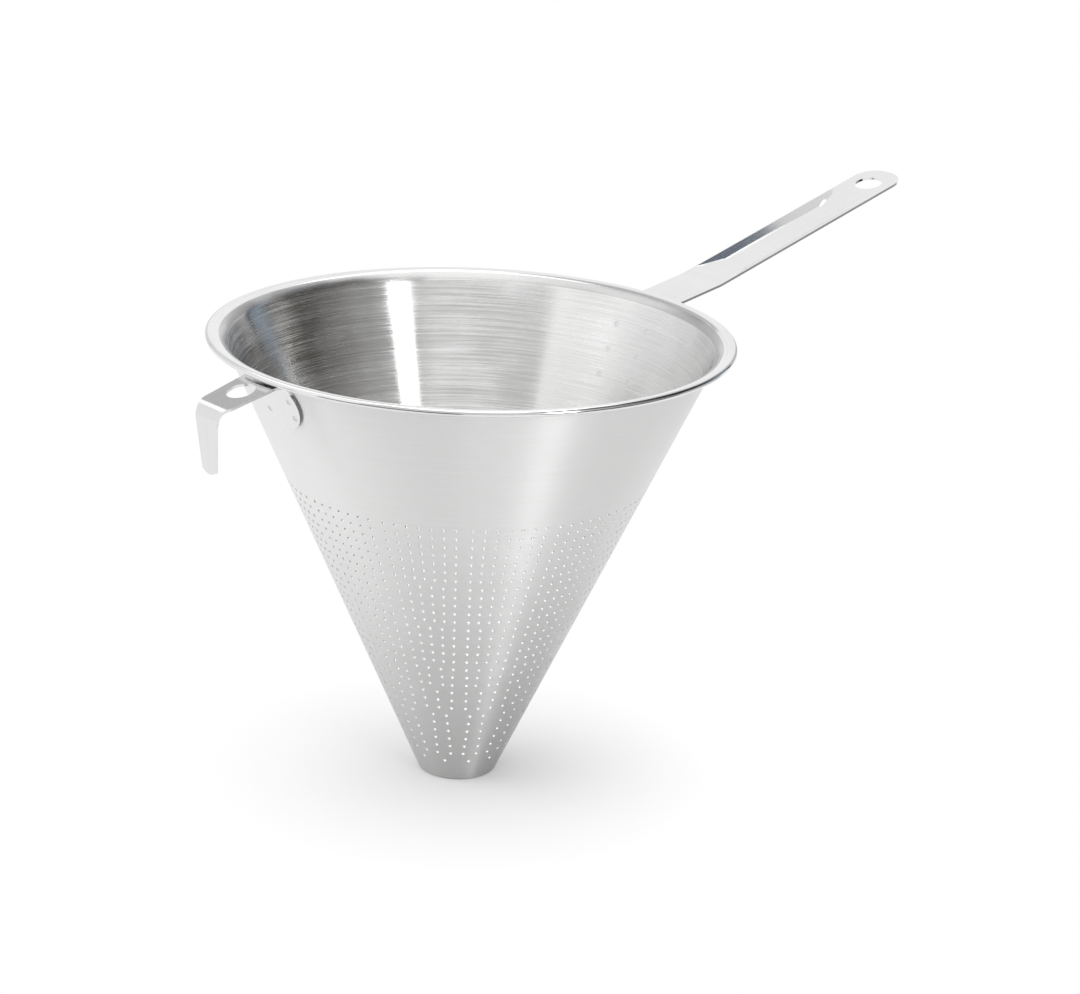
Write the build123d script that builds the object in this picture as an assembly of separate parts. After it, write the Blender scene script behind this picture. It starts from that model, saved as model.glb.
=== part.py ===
"""Chinois strainer: a deep cone of thin steel sheet with a rolled rim, a long handle and a pot hook.

The handle and the hook are bent from thicker strip. A tab at the root of each follows the cone's
outside just under the rim, and spot welds hold it there.

Lengths are in millimetres and angles in degrees. +Z is up, +X points along the handle, and the
origin is the middle of the flat tip's underside, where the strainer stands.
"""
import math
import os

from build123d import *

# The cone and its rolled rim
rim_diameter = 240.0
strainer_height = 211.6
tip_diameter = 35.6  # where the wall's outside would meet the ground
rim_flare_width = 6.8  # from the wall's outside to the rim's, at the top
wall_thickness = 0.8
tip_corner_radius = 2.0
rim_roll_diameter = 2.8
rim_flare_radius = 8.0
rim_roll_bend_share = 0.875  # of the room inside the roll

# The drain holes in the tip
drain_diameter = 1.6
drain_ring_radius = 5.1
drain_count = 6

# The strip that the handle and the hook are bent from
strip_thickness = 1.2

# The handle
handle_width = 25.5
handle_length = 170.5  # from the rim's outside, seen from above
handle_root_rise = 9.0
handle_rise = 14.3
handle_knee_out = 33.0  # from the rim's outside
handle_knee_radius = 40.0
handle_root_bend_radius = 6.0
handle_lift_in = 1.5  # the handle is level under the rim, up to this far inside the rim's outside
handle_rim_gap = 0.8
handle_lift_radius = 20.0
handle_end_flat = 3.0
handle_hole_diameter = 14.0
handle_hole_from_end = 15.5
handle_tab_width = 32.0
handle_tab_length = 47.0
handle_tab_shoulder_radius = 6.0
handle_tab_foot_flat = 2.0

# The channel pressed into the handle
channel_depth = 2.0
channel_land = 0.5  # the flat left along each edge of the handle
channel_flank_width = 5.0
channel_ramp_length = 20.0
channel_from_knee = 5.0
channel_from_hole = 3.2
channel_crease_radius = 6.0

# The pot hook
hook_bearing = 176.0  # turned from the handle, about the cone's axis
hook_root_width = 23.6
hook_shoulder_width = 20.6
hook_leg_top_width = 14.6
hook_leg_end_width = 10.0
hook_leg_end_bulge = 2.0
hook_rim_gap = 0.8
hook_fall_in = 2.0  # the strip is level under the rim, up to this far inside the rim's outside
hook_fall = 15.1
hook_fall_radius = 6.0
hook_root_bend_radius = 6.0
hook_corner_out = 26.0  # from the rim's outside
hook_corner_radius = 6.4
hook_leg_lean = 5.0
hook_leg_drop = 29.6  # from the corner down to the leg's end
hook_hole_diameter = 13.0
hook_hole_out = 7.5  # from the rim's outside
hook_tab_diameter = 27.0
hook_tab_centre_drop = 8.4

# The spot welds
weld_diameter = 3.0
weld_dimple = 0.1
handle_weld_inset = 6.3  # from the tab's sides
handle_weld_drop = 9.7  # from the tab's top, down the wall
handle_weld_foot_inset = 12.1  # from the tab's foot
handle_weld_rows = 3
hook_weld_inset = 4.5
hook_weld_drop = 5.5
hook_weld_foot_inset = 7.6
hook_weld_rows = 2

# Both tabs
tab_top_drop = 6.6  # from the rim's top down to where the tabs are full width
tab_sweep = 16.0  # a tab is rolled this far round the cone to each side, then trimmed

square_turn = 90.0
tiny_run = 0.001  # a straight run shorter than this is left out

# What follows from the sizes above
rim_radius = rim_diameter / 2
tip_radius = tip_diameter / 2
wall_slope = (rim_radius - rim_flare_width - tip_radius) / strainer_height
cone_half_angle = math.degrees(math.atan(wall_slope))
roll_radius = rim_roll_diameter / 2
roll_bottom = strainer_height - rim_roll_diameter
rim_roll_bend_radius = rim_roll_bend_share * (roll_radius - wall_thickness)
handle_level = roll_bottom - handle_rim_gap
handle_level_reach = rim_radius - handle_lift_in
handle_knee_reach = rim_radius + handle_knee_out
handle_reach = rim_radius + handle_length
handle_end_radius = (handle_width - handle_end_flat) / 2
handle_tab_foot_radius = (handle_tab_width - handle_tab_foot_flat) / 2
hook_level = roll_bottom - hook_rim_gap
hook_level_reach = rim_radius - hook_fall_in
hook_corner_reach = rim_radius + hook_corner_out
hook_hole_reach = rim_radius + hook_hole_out
tab_top = strainer_height - tab_top_drop


def cone_radius(height):
    """Gives the radius of the cone's outside at a height."""
    return tip_radius + wall_slope * height


def slope_of(angle):
    """Gives the rise per run of an angle."""
    return math.tan(math.radians(angle))


def sheet_line(corners, radii):
    """Draws one face of a bent sheet: straight runs between corners, with a round bend at each."""
    pieces = []
    start = corners[0]
    for before, corner, after, radius in zip(corners, corners[1:], corners[2:], radii):
        inward = (corner - before).normalized()
        outward = (after - corner).normalized()
        turn = math.radians(inward.get_angle(outward))
        reach = radius * math.tan(turn / 2)
        bend_start = corner - inward * reach
        bend_end = corner + outward * reach
        if (bend_start - start).length > tiny_run:
            pieces.append(Line(start, bend_start))
        pieces.append(TangentArc(bend_start, bend_end, tangent=inward))
        start = bend_end
    if (corners[-1] - start).length > tiny_run:
        pieces.append(Line(start, corners[-1]))
    return pieces


def sheet_section(corners, radii, thickness):
    """Makes the section of a bent sheet from one face's corners.

    The radii are of that face. A positive thickness lies on the left of the line, going along it,
    and a negative one on the right.
    """
    corners = [Vector(x, z) for x, z in corners]
    runs = [(b - a).normalized() for a, b in zip(corners, corners[1:])]
    sides = [Vector(-run.Y, run.X) for run in runs]
    far_corners = [corners[0] + sides[0] * thickness]
    far_radii = []
    for i, radius in enumerate(radii):
        miter = (sides[i] + sides[i + 1]) / (1 + sides[i].dot(sides[i + 1]))
        far_corners.append(corners[i + 1] + miter * thickness)
        turns_left = runs[i].X * runs[i + 1].Y > runs[i].Y * runs[i + 1].X
        far_radii.append(radius - thickness if turns_left else radius + thickness)
    far_corners.append(corners[-1] + sides[-1] * thickness)
    outline = sheet_line(corners, radii)
    outline += sheet_line(far_corners, far_radii)
    outline.append(Line(corners[0], far_corners[0]))
    outline.append(Line(corners[-1], far_corners[-1]))
    return Plane.XZ * make_face(outline)


def on_wall(height):
    """Gives the frame on the cone's outside at a height: X down the wall, Y across, Z straight out."""
    return Location((cone_radius(height), 0, height), (0, square_turn + cone_half_angle, 0))


def bend_end_reach(level, radius):
    """Gives how far from the axis a root's bend ends, where its strip has become level."""
    turn = math.radians(square_turn - cone_half_angle)
    return cone_radius(level) + radius * math.tan(turn / 2)


def rolled_root(level, bend_radius, tab_length, outline):
    """Makes a strip's root: a tab rolled to the cone, then bent outwards to lie level under the rim.

    The outline is flat, in the frame on the wall at the tabs' top, and trims the tab's foot.
    """
    rolled_length = tab_length + strip_thickness
    foot_height = tab_top - rolled_length * math.cos(math.radians(cone_half_angle))
    corners = [
        (cone_radius(foot_height), foot_height),
        (cone_radius(level), level),
        (bend_end_reach(level, bend_radius) + wall_thickness, level),
    ]
    section = sheet_section(corners, [bend_radius], -strip_thickness)
    rolled = revolve(Rotation(0, 0, -tab_sweep) * section, Axis.Z, 2 * tab_sweep)
    return rolled & on_wall(tab_top) * extrude(outline, amount=rim_radius, both=True)


def weld_places(first_drop, last_drop, rows, spacing):
    """Gives the frame on the wall at each spot weld, in rows of two down the wall from the tabs' top."""
    pitch = (last_drop - first_drop) / (rows - 1)
    places = []
    for row in range(rows):
        height = tab_top - (first_drop + row * pitch) * math.cos(math.radians(cone_half_angle))
        bearing = math.degrees(math.asin(spacing / 2 / cone_radius(height)))
        for turn in (-bearing, bearing):
            places.append(Location((0, 0, 0), (0, 0, turn)) * on_wall(height))
    return places


def weld_nugget(place):
    """Makes one spot weld, through the wall and the tab and just short of both their faces."""
    length = wall_thickness + strip_thickness - 2 * weld_dimple
    middle = (strip_thickness - wall_thickness) / 2
    return place * Pos(0, 0, middle) * Cylinder(weld_diameter / 2, length)


def weld_pocket(place):
    """Makes the hole that a spot weld fills, right through the wall and the tab."""
    return place * Cylinder(weld_diameter / 2, 2 * (wall_thickness + strip_thickness))


def make_cone():
    """Makes the cone: the flat tip, the wall, the flare and the rolled rim, all of one sheet."""
    flat_underside = strainer_height - wall_thickness
    roll_edge = rim_radius - wall_thickness
    roll_base = roll_bottom + wall_thickness
    roll_tail = rim_radius - rim_roll_diameter + wall_thickness
    corners = [
        (0, 0),
        (tip_radius, 0),
        (cone_radius(flat_underside), flat_underside),
        (roll_edge, flat_underside),
        (roll_edge, roll_base),
        (roll_tail, roll_base),
        (roll_tail, strainer_height - roll_radius),
    ]
    radii = [tip_corner_radius, rim_flare_radius] + 3 * [rim_roll_bend_radius]
    cone = revolve(sheet_section(corners, radii, wall_thickness), Axis.Z)
    drain = Cylinder(drain_diameter / 2, 2 * tip_corner_radius)
    cone -= PolarLocations(drain_ring_radius, drain_count) * drain
    return cone


def channel_body(channel_length, drop):
    """Makes the room over the pressed channel's floor, ramps and flanks, moved down by a drop."""
    over = channel_depth
    rise = channel_depth + over
    flank_run = rise * channel_flank_width / channel_depth
    ramp_run = rise * channel_ramp_length / channel_depth
    floor_length = channel_length - 2 * channel_ramp_length
    floor_width = handle_width - 2 * (channel_land + channel_flank_width)
    middle = channel_from_knee + channel_length / 2
    floor = Rectangle(floor_length, floor_width)
    brim = Rectangle(floor_length + 2 * ramp_run, floor_width + 2 * flank_run)
    body = loft([Pos(middle, 0, -channel_depth) * floor, Pos(middle, 0, over) * brim], ruled=True)
    creases = body.faces().sort_by(Axis.Z)[0].edges().filter_by(Axis.X)
    return Pos(0, 0, -drop) * fillet(creases, channel_crease_radius + drop)


def make_handle():
    """Makes the handle: the tab on the cone, the bend under the rim and the channelled strip."""
    tab = Pos(handle_tab_length / 2, 0) * Rectangle(handle_tab_length, handle_tab_width)
    tab = fillet(tab.vertices().group_by(Axis.X)[0], handle_tab_shoulder_radius)
    tab = fillet(tab.vertices().group_by(Axis.X)[-1], handle_tab_foot_radius)
    neck = Rectangle(2 * handle_tab_shoulder_radius + 2 * tab_top_drop, handle_width)
    root = rolled_root(handle_level, handle_root_bend_radius, handle_tab_length, tab + neck)

    knee_run = handle_knee_reach - handle_level_reach
    knee_height = handle_level + knee_run * slope_of(handle_root_rise)
    end_height = knee_height + (handle_reach - handle_knee_reach) * slope_of(handle_rise)
    corners = [
        (bend_end_reach(handle_level, handle_root_bend_radius), handle_level),
        (handle_level_reach, handle_level),
        (handle_knee_reach, knee_height),
        (handle_reach, end_height),
    ]
    section = sheet_section(corners, [handle_lift_radius, handle_knee_radius], -strip_thickness)
    strip = extrude(section, amount=handle_width / 2, both=True)
    end_corners = strip.faces().sort_by(Axis.X)[-1].edges().sort_by(Axis.Y)
    strip = fillet([end_corners[0], end_corners[-1]], handle_end_radius)

    hole_reach = (handle_reach - handle_knee_reach) / math.cos(math.radians(handle_rise))
    hole_reach -= handle_hole_from_end
    channel_end = hole_reach - handle_hole_diameter / 2 - channel_from_hole
    channel_length = channel_end - channel_from_knee
    top = Location((handle_knee_reach, 0, knee_height), (0, -handle_rise, 0))
    below = Pos(0, 0, -channel_depth - strip_thickness)
    keep = below * Box(handle_reach, handle_width, 2 * (channel_depth + strip_thickness))
    strip += top * (channel_body(channel_length, strip_thickness) & keep)
    strip -= top * channel_body(channel_length, 0)
    strip -= top * Pos(hole_reach, 0) * Cylinder(handle_hole_diameter / 2, 4 * strip_thickness)
    return root + strip


def make_hook():
    """Makes the pot hook, pointing along +X: the tab, the strip under the rim and the leg."""
    tab = Pos(hook_tab_centre_drop, 0) * Circle(hook_tab_diameter / 2)
    neck = Rectangle(2 * hook_tab_centre_drop, hook_root_width)
    tab_length = hook_tab_centre_drop + hook_tab_diameter / 2
    root = rolled_root(hook_level, hook_root_bend_radius, tab_length, tab + neck)

    corner_run = hook_corner_reach - hook_level_reach
    corner_height = hook_level - corner_run * slope_of(hook_fall)
    leg_bottom = corner_height - hook_leg_drop
    leg_run = hook_leg_drop + strip_thickness
    leg_run_reach = hook_corner_reach - leg_run * slope_of(hook_leg_lean)
    strip_start = bend_end_reach(hook_level, hook_root_bend_radius)
    corners = [
        (strip_start, hook_level),
        (hook_level_reach, hook_level),
        (hook_corner_reach, corner_height),
        (leg_run_reach, corner_height - leg_run),
    ]
    section = sheet_section(corners, [hook_fall_radius, hook_corner_radius], -strip_thickness)
    strip = extrude(section, amount=hook_root_width / 2, both=True)

    from_above = [
        (strip_start, hook_root_width / 2),
        (hook_level_reach, hook_root_width / 2),
        (hook_corner_reach - hook_corner_radius, hook_shoulder_width / 2),
        (hook_corner_reach, hook_leg_top_width / 2),
    ]
    from_above += [(x, -y) for x, y in reversed(from_above)]
    strip &= extrude(Polygon(*from_above, align=None), amount=strainer_height, both=True)
    leg_top = corner_height - hook_corner_radius
    clear_of_bend = leg_top + (hook_root_width - hook_leg_top_width) / 2
    from_outside = [
        (hook_leg_end_width / 2, leg_bottom + hook_leg_end_bulge),
        (hook_leg_top_width / 2, leg_top),
        (hook_root_width / 2, clear_of_bend),
        (hook_root_width / 2, strainer_height),
    ]
    from_outside += [(-y, z) for y, z in reversed(from_outside)]
    leg_end = ThreePointArc(from_outside[-1], (0, leg_bottom), from_outside[0])
    leg_face = make_face([Polyline(*from_outside), leg_end])
    strip &= extrude(Plane.YZ * leg_face, amount=2 * hook_corner_reach, both=True)
    hole_height = hook_level - (hook_hole_reach - hook_level_reach) * slope_of(hook_fall)
    hole = Cylinder(hook_hole_diameter / 2, 4 * strip_thickness)
    strip -= Location((hook_hole_reach, 0, hole_height), (0, hook_fall, 0)) * hole
    return root + strip


last_drop = handle_tab_length - handle_weld_foot_inset
spacing = handle_tab_width - 2 * handle_weld_inset
handle_welds = weld_places(handle_weld_drop, last_drop, handle_weld_rows, spacing)
last_drop = hook_tab_centre_drop + hook_tab_diameter / 2 - hook_weld_foot_inset
spacing = hook_tab_diameter - 2 * hook_weld_inset
hook_welds = weld_places(hook_weld_drop, last_drop, hook_weld_rows, spacing)
hook_turn = Location((0, 0, 0), (0, 0, hook_bearing))

cone = make_cone()
handle = make_handle()
hook = make_hook()
parts = {}
for number, place in enumerate(handle_welds, 1):
    cone -= weld_pocket(place)
    handle -= weld_pocket(place)
    parts[f"handle_weld_{number}"] = weld_nugget(place)
for number, place in enumerate(hook_welds, 1):
    cone -= weld_pocket(hook_turn * place)
    hook -= weld_pocket(place)
    parts[f"hook_weld_{number}"] = weld_nugget(hook_turn * place)
parts["cone"] = cone
parts["handle"] = handle
parts["pot_hook"] = hook_turn * hook

os.makedirs("parts", exist_ok=True)
for name, shape in parts.items():
    export_step(shape, f"parts/{name}.step")
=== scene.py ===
"""Dresses the chinois strainer: a perforated steel cone with a rolled rim, a handle and a pot hook.

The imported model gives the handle, the hook and the spot welds, which get their finishes here. The
cone is made again with all its drain holes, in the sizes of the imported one, and takes its place.
Lengths are in metres. +Z is up, +X points along the handle, and the origin is the middle of the flat
tip's underside.
"""
from __future__ import annotations

import logging
import math
from dataclasses import dataclass, field
from enum import Enum
from typing import Callable, Iterable, Mapping, Sequence

import bpy
from mathutils import Matrix, Quaternion, Vector
from mathutils.geometry import delaunay_2d_cdt

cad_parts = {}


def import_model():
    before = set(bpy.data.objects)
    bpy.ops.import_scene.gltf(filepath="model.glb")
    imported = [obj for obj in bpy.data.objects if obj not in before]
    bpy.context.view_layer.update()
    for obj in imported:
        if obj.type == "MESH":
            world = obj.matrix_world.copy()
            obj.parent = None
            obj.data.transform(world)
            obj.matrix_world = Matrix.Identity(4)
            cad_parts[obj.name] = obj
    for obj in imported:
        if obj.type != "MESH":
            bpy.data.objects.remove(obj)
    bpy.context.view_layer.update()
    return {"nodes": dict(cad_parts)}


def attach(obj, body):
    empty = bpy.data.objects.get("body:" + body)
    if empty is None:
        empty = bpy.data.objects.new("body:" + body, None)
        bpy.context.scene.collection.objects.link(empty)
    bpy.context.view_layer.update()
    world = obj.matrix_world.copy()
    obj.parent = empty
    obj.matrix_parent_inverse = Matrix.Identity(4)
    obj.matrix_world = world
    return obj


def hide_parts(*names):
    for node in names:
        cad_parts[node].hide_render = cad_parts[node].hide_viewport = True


LOG = logging.getLogger("chinois")

Colour = tuple[float, float, float]
Point = tuple[float, float]
Drawn = tuple[Point, Point]
Ways = Callable[[float, float], Vector]

MM = 0.001
UP = Vector((0.0, 0.0, 1.0))
HOOK_BEARING = 176.0

# Points of a mesh fall together where they round to the same number of these per metre.
POINTS_PER_METRE = 1e7
SHORTEST_STEP = 1e-8
SAME_POINT = 1e-9
SAME_WAY = 1e-6

# A triangle whose middle is within this share of a hole's radius lies in the hole.
HOLE_SHARE = 0.98

# Where the painted shade on the cut edge of the hook's tab starts and is full: by how it faces, by
# height and by x. It stands for the shadow in the gap between the tab and the cone.
SHADED_EDGE_FACING = (0.45, 0.6)
SHADED_EDGE_TOP = (204.0 * MM, 203.0 * MM)
SHADED_EDGE_REACH = (119.0 * MM, 118.0 * MM)


def grey(value: float) -> Colour:
    """Gives a grey."""
    return (value, value, value)


def flat_ray(turn: float) -> Vector:
    """Gives the flat direction at an angle, in radians."""
    return Vector((math.cos(turn), math.sin(turn)))


def add_object(name: str, data: bpy.types.ID) -> bpy.types.Object:
    """Puts an object in the scene.

    Args:
        name: Its name.
        data: Its mesh, lamp or camera.

    Returns:
        The object.
    """
    made = bpy.data.objects.new(name, data)
    bpy.context.scene.collection.objects.link(made)
    return made


# Finishes


class Lines(Enum):
    """Which way the fine lines of a brushed finish run."""

    AROUND = "around the cone's axis"
    ALONG_HANDLE = "along the handle"
    ALONG_HOOK = "along the hook's strip"


class NodeBench:
    """A short way to add and join shader nodes in one material."""

    def __init__(self, tree: bpy.types.NodeTree) -> None:
        """Keeps the tree that the nodes go into."""
        self.tree = tree

    def add(
        self, kind: str, inputs: Mapping[str | int, object] | None = None, **settings: object
    ) -> bpy.types.Node:
        """Adds a node.

        Args:
            kind: The node's type, without the leading ShaderNode.
            inputs: For some of its inputs, the output to join to it or the value to set.
            settings: Properties to set on it.

        Returns:
            The new node.
        """
        node = self.tree.nodes.new("ShaderNode" + kind)
        for name, value in settings.items():
            setattr(node, name, value)
        for slot, value in (inputs or {}).items():
            if isinstance(value, bpy.types.NodeSocket):
                self.tree.links.new(value, node.inputs[slot])
            else:
                node.inputs[slot].default_value = value
        return node

    def math(self, operation: str, first: object, second: object = 0.0) -> bpy.types.NodeSocket:
        """Adds a Math node.

        Args:
            operation: Its operation.
            first: A socket or a number.
            second: A socket or a number.

        Returns:
            Its value output.
        """
        return self.add("Math", {0: first, 1: second}, operation=operation).outputs[0]

    def products(self, a: object, b: object, c: object, d: object) -> bpy.types.NodeSocket:
        """Gives a times b plus c times d, where each is a socket or a number."""
        return self.math("ADD", self.math("MULTIPLY", a, b), self.math("MULTIPLY", c, d))

    def axes(self) -> Sequence[bpy.types.NodeSocket]:
        """Gives the x, y and z of the shaded point, in the object's own frame."""
        place = self.add("TexCoord").outputs["Object"]
        return self.add("SeparateXYZ", {0: place}).outputs

    def straight_rays(self) -> bpy.types.NodeSocket:
        """Gives 1 for rays straight from the camera, also through glass, and 0 for others."""
        path = self.add("LightPath")
        return self.math("ADD", path.outputs["Is Camera Ray"], path.outputs["Is Transmission Ray"])

    def noise(
        self, vector: bpy.types.NodeSocket, scale: float, detail: float, rough: float
    ) -> bpy.types.NodeSocket:
        """Adds a noise texture.

        Args:
            vector: Where to read it.
            scale: Its scale.
            detail: Its number of octaves.
            rough: How strong the fine octaves are.

        Returns:
            Its grey output, from 0 to 1.
        """
        inputs = {"Vector": vector, "Scale": scale, "Detail": detail, "Roughness": rough}
        return self.add("TexNoise", inputs).outputs["Fac"]

    def span(
        self, value: bpy.types.NodeSocket, low: float, high: float, to_low: float, to_high: float
    ) -> bpy.types.NodeSocket:
        """Maps a value from one range to another, held at both ends.

        Args:
            value: The value.
            low: The range's low end.
            high: The range's high end.
            to_low: What the low end becomes.
            to_high: What the high end becomes.

        Returns:
            The mapped value.
        """
        ends = {"From Min": low, "From Max": high, "To Min": to_low, "To Max": to_high}
        return self.add("MapRange", {"Value": value, **ends}).outputs["Result"]


def bare_material(name: str) -> tuple[bpy.types.Material, NodeBench]:
    """Makes a material with no nodes.

    Args:
        name: Its name.

    Returns:
        The material, and a bench to add its nodes on.
    """
    made = bpy.data.materials.new(name)
    made.use_nodes = True
    made.node_tree.nodes.clear()
    return made, NodeBench(made.node_tree)


@dataclass(frozen=True)
class Grain:
    """What the lines and clouds of every finish have in common.

    The lines are a sum of fine and broad ones, with scales per line width, and the clouds' scale is
    per metre. The colour and the wear are sums of lines and clouds, read from low to high. The lines
    round the cone end at least_reach from its axis and lean by down_wall, those of a strip by
    down_strip, and quarter_turn lays the stretched highlight across them.
    """

    octaves: float = 3.0
    fine_scale: float = 1.0
    fine_rough: float = 0.65
    fine_share: float = 0.75
    broad_scale: float = 0.28
    broad_rough: float = 0.6
    broad_share: float = 0.25
    cloud_scale: float = 28.0
    cloud_rough: float = 0.5
    colour_of_lines: float = 0.7
    colour_of_clouds: float = 0.3
    wear_of_lines: float = 0.75
    wear_of_clouds: float = 0.25
    low: float = 0.4
    high: float = 0.6
    least_reach: float = 2.0 * MM
    down_wall: float = 0.45
    down_strip: float = 0.6
    quarter_turn: float = 0.25


GRAIN = Grain()


@dataclass(frozen=True)
class SteelFinish:
    """A finish of stainless steel: brushed lines and soft clouding.

    The colours are of the metal, dark and light, between which the lines and clouds vary it. They are
    multiplied by a share of painted light or shade up to one height, which fades out up to a higher
    one, and by a share of painted shade on the cut edges of the hook's tab, for the shadow in its gap
    by the cone.
    """

    name: str
    dark: Colour
    light: Colour
    roughness_low: float
    roughness_high: float
    lines: Lines
    line_width: float
    line_length_turns: float
    line_depth: float
    anisotropy: float = 0.0
    # Painted light or shade low down: the share, full up to the first height and gone at the second.
    painted_light_from: float = 0.0
    painted_light_below: float = 0.0
    painted_light_share: float = 1.0
    # The share of painted shade on the cut edges of the hook's tab, for the shadow in its gap by the
    # cone.
    painted_edge_shade_share: float = 1.0

    def along_and_across(self, bench: NodeBench) -> bpy.types.NodeSocket:
        """Makes the vector that the lines are read in: long one way, and fine across.

        Args:
            bench: Where the nodes go.

        Returns:
            The vector, in which a line is one unit wide.
        """
        x, y, z = bench.axes()
        if self.lines is Lines.AROUND:
            reach = bench.math("SQRT", bench.products(x, x, y, y))
            reach = bench.math("MAXIMUM", reach, GRAIN.least_reach)
            flat = [bench.math("DIVIDE", side, reach) for side in (x, y)]
            ends = [bench.math("MULTIPLY", share, self.line_length_turns) for share in flat]
            down_wall = bench.math("ADD", z, bench.math("MULTIPLY", reach, GRAIN.down_wall))
            ends.append(bench.math("DIVIDE", down_wall, self.line_width))
        else:
            turn = math.radians(HOOK_BEARING) if self.lines is Lines.ALONG_HOOK else 0.0
            along = bench.products(x, math.cos(turn), y, math.sin(turn))
            along = bench.math("ADD", along, bench.math("MULTIPLY", z, GRAIN.down_strip))
            across = bench.products(y, math.cos(turn), x, -math.sin(turn))
            ends = [bench.math("MULTIPLY", along, self.line_length_turns)]
            ends.append(bench.math("DIVIDE", across, self.line_width))
        return bench.add("CombineXYZ", dict(enumerate(ends))).outputs[0]

    def painted_edge_shade_mask(self, bench: NodeBench) -> bpy.types.NodeSocket:
        """Finds the cut edges of the hook's tab, which get painted shade, by how they face and where
        they are.

        Args:
            bench: Where the nodes go.

        Returns:
            1 on those edges, and 0 elsewhere.
        """
        x, _, z = bench.axes()
        turn = math.radians(HOOK_BEARING)
        inputs = {0: bench.add("TexCoord").outputs["Normal"], 1: (-math.sin(turn), math.cos(turn), 0.0)}
        facing = bench.add("VectorMath", inputs, operation="DOT_PRODUCT")
        side = bench.span(bench.math("ABSOLUTE", facing.outputs["Value"]), *SHADED_EDGE_FACING, 0.0, 1.0)
        low = bench.span(z, *SHADED_EDGE_TOP, 0.0, 1.0)
        near = bench.span(bench.math("ABSOLUTE", x), *SHADED_EDGE_REACH, 0.0, 1.0)
        return bench.math("MULTIPLY", bench.math("MULTIPLY", side, low), near)

    def toned(self, bench: NodeBench, colour: bpy.types.NodeSocket) -> bpy.types.NodeSocket:
        """Paints light or shade into the steel's colour low down, and paints shade on the cut edges of
        the hook's tab.

        Args:
            bench: Where the nodes go.
            colour: The steel's colour.

        Returns:
            The colour times the finish's shares.
        """
        _, _, height = bench.axes()
        # Painted light or shade, by height.
        share = bench.span(height, self.painted_light_from, self.painted_light_below, self.painted_light_share, 1.0)
        # Painted shade on the cut edges of the hook's tab.
        if self.painted_edge_shade_share < 1.0:
            edge = bench.span(self.painted_edge_shade_mask(bench), 0.0, 1.0, 1.0, self.painted_edge_shade_share)
            share = bench.math("MULTIPLY", share, edge)
        shares = bench.add("CombineXYZ", {0: share, 1: share, 2: share}).outputs[0]
        inputs = {0: 1.0, "A": colour, "B": shares}
        return bench.add("Mix", inputs, data_type="RGBA", blend_type="MULTIPLY").outputs["Result"]

    def material(self) -> bpy.types.Material:
        """Makes the finish's material.

        Returns:
            The material.
        """
        made, bench = bare_material(self.name)
        vector = self.along_and_across(bench)
        fine = bench.noise(vector, GRAIN.fine_scale, GRAIN.octaves, GRAIN.fine_rough)
        broad = bench.noise(vector, GRAIN.broad_scale, GRAIN.octaves, GRAIN.broad_rough)
        place = bench.add("TexCoord").outputs["Object"]
        cloud = bench.noise(place, GRAIN.cloud_scale, GRAIN.octaves, GRAIN.cloud_rough)
        lines = bench.products(fine, GRAIN.fine_share, broad, GRAIN.broad_share)

        shade = bench.products(lines, GRAIN.colour_of_lines, cloud, GRAIN.colour_of_clouds)
        shade = bench.span(shade, GRAIN.low, GRAIN.high, 0.0, 1.0)
        ends = {0: shade, "A": (*self.dark, 1.0), "B": (*self.light, 1.0)}
        colour = bench.add("Mix", ends, data_type="RGBA").outputs["Result"]
        if self.painted_light_below > 0.0 or self.painted_edge_shade_share < 1.0:
            colour = self.toned(bench, colour)

        worn = bench.products(lines, GRAIN.wear_of_lines, cloud, GRAIN.wear_of_clouds)
        rough = bench.span(worn, GRAIN.low, GRAIN.high, self.roughness_low, self.roughness_high)
        bump = bench.add("Bump", {"Strength": 1.0, "Distance": self.line_depth, "Height": lines})
        around = self.lines is Lines.AROUND
        inputs = {
            "Base Color": colour, "Roughness": rough, "Normal": bump.outputs[0], "Metallic": 1.0,
            "Anisotropic": self.anisotropy,
            "Anisotropic Rotation": GRAIN.quarter_turn if around else 0.0,
        }
        if self.anisotropy > 0.0 and around:
            inputs["Tangent"] = bench.add("Tangent", direction_type="RADIAL", axis="Z").outputs[0]
        shader = bench.add("BsdfPrincipled", inputs)
        bench.add("OutputMaterial", {"Surface": shader.outputs[0]})
        return made


# Painted shade: the outside darkens from 150 mm down towards the tip, for the shaded floor it mirrors
# there.
SATIN_OUTSIDE = SteelFinish(
    name="satin_steel_outside", dark=(0.82, 0.818, 0.815), light=(0.87, 0.869, 0.867),
    roughness_low=0.37, roughness_high=0.43, lines=Lines.AROUND, line_width=0.22 * MM,
    line_length_turns=4.0, line_depth=0.0012 * MM, anisotropy=0.9,
    painted_light_below=150.0 * MM, painted_light_share=0.68,
)
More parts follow.
